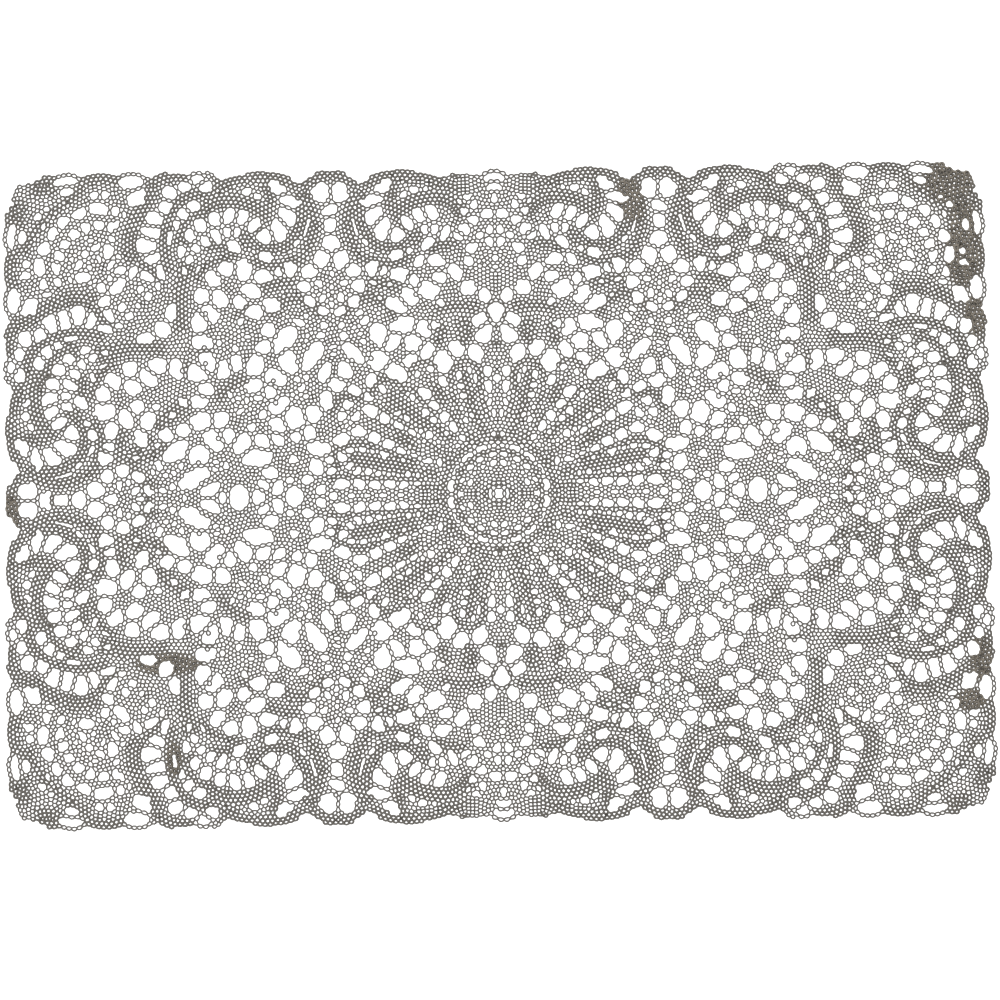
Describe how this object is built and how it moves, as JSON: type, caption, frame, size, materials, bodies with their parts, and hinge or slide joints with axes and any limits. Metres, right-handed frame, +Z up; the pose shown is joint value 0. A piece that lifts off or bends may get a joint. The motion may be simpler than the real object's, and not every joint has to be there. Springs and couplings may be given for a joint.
{
  "type": "plastic lace placemat",
  "caption": "Flat rectangular placemat of moulded openwork plastic in a lace pattern: a centre rosette, net, scrolls, corner fans and a scalloped edge.",
  "frame": {"origin": "middle of the mat, on the surface it lies on", "axes": "+X along the mat's length, +Y across its width, +Z up out of the surface it lies on"},
  "size_m": [0.45, 0.3, 0.001],
  "materials": {
    "lace_vinyl": "satin moulded vinyl, taupe grey"
  },
  "bodies": {
    "root": {"placemat": "lace_vinyl"}
  },
  "joints": []
}
